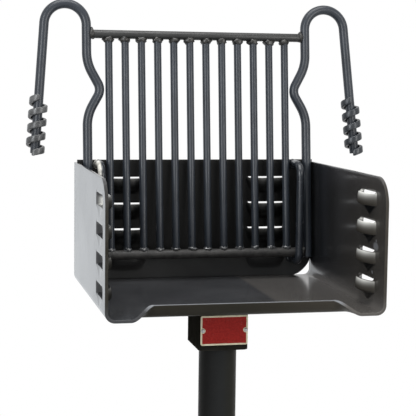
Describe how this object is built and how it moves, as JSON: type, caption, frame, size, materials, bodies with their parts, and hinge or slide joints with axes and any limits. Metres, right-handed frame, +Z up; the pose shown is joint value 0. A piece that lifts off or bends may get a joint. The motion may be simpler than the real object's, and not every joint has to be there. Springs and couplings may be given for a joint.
{
  "type": "park barbecue grill",
  "caption": "Open steel firebox on a post pivot, with a tip-back bar grate that has looped handles and coil grips and rests on pressed tabs.",
  "frame": {"origin": "centre of the base plate's underside, on the post's axis", "axes": "+X to the right and -Y to the open front, as in the picture, +Z up"},
  "size_m": [0.5857, 0.3904, 1.2558],
  "materials": {
    "black_enamel": "semi-gloss black enamel on steel",
    "wall_enamel": "semi-gloss black enamel on steel sheet",
    "bar_enamel": "satin blue-black enamel on steel rod",
    "grip_steel": "dark worn steel strip",
    "plate_red": "gloss red with a cream border",
    "bare_steel": "plain zinc-grey steel",
    "bronze": "dull oiled bronze"
  },
  "bodies": {
    "post": {"base_plate": "black_enamel", "base_gusset_1": "black_enamel", "base_gusset_2": "black_enamel", "base_gusset_3": "black_enamel", "base_gusset_4": "black_enamel", "post_pipe": "black_enamel", "upper_bushing": "bronze", "lower_bushing": "bronze"},
    "firebox": {"pivot_spindle": "bare_steel", "thrust_washer": "bare_steel", "retaining_collar": "bare_steel", "support_bracket": "black_enamel", "name_plate": "plate_red", "name_plate_rivet_left": "bare_steel", "name_plate_rivet_right": "bare_steel", "guide_rod_left": "bar_enamel", "guide_rod_right": "bar_enamel", "firebox_shell": "wall_enamel", "back_plate": "wall_enamel"},
    "grate_carrier": {"rear_crossbar": "bar_enamel"},
    "grate": {"front_crossbar": "bar_enamel", "cooking_bar_01": "bar_enamel", "cooking_bar_02": "bar_enamel", "cooking_bar_03": "bar_enamel", "cooking_bar_04": "bar_enamel", "cooking_bar_05": "bar_enamel", "cooking_bar_06": "bar_enamel", "cooking_bar_07": "bar_enamel", "cooking_bar_08": "bar_enamel", "cooking_bar_09": "bar_enamel", "cooking_bar_10": "bar_enamel", "cooking_bar_11": "bar_enamel", "cooking_bar_12": "bar_enamel", "side_bar_left": "bar_enamel", "grip_coil_left": "grip_steel", "side_bar_right": "bar_enamel", "grip_coil_right": "grip_steel"}
  },
  "joints": [
    {"name": "firebox_swivel", "type": "hinge", "parent": "post", "child": "firebox", "pos_m": [0, 0, 0.7], "axis": [0, 0, 1], "continuous": true},
    {"name": "grate_lift", "type": "slide", "parent": "firebox", "child": "grate_carrier", "axis": [0, 0, 1], "range_m": [0, 0.132]},
    {"name": "grate_tilt", "type": "hinge", "parent": "grate_carrier", "child": "grate", "pos_m": [0, 0.13917, 0.83], "axis": [1, 0, 0], "range_deg": [0, 96.2]}
  ]
}
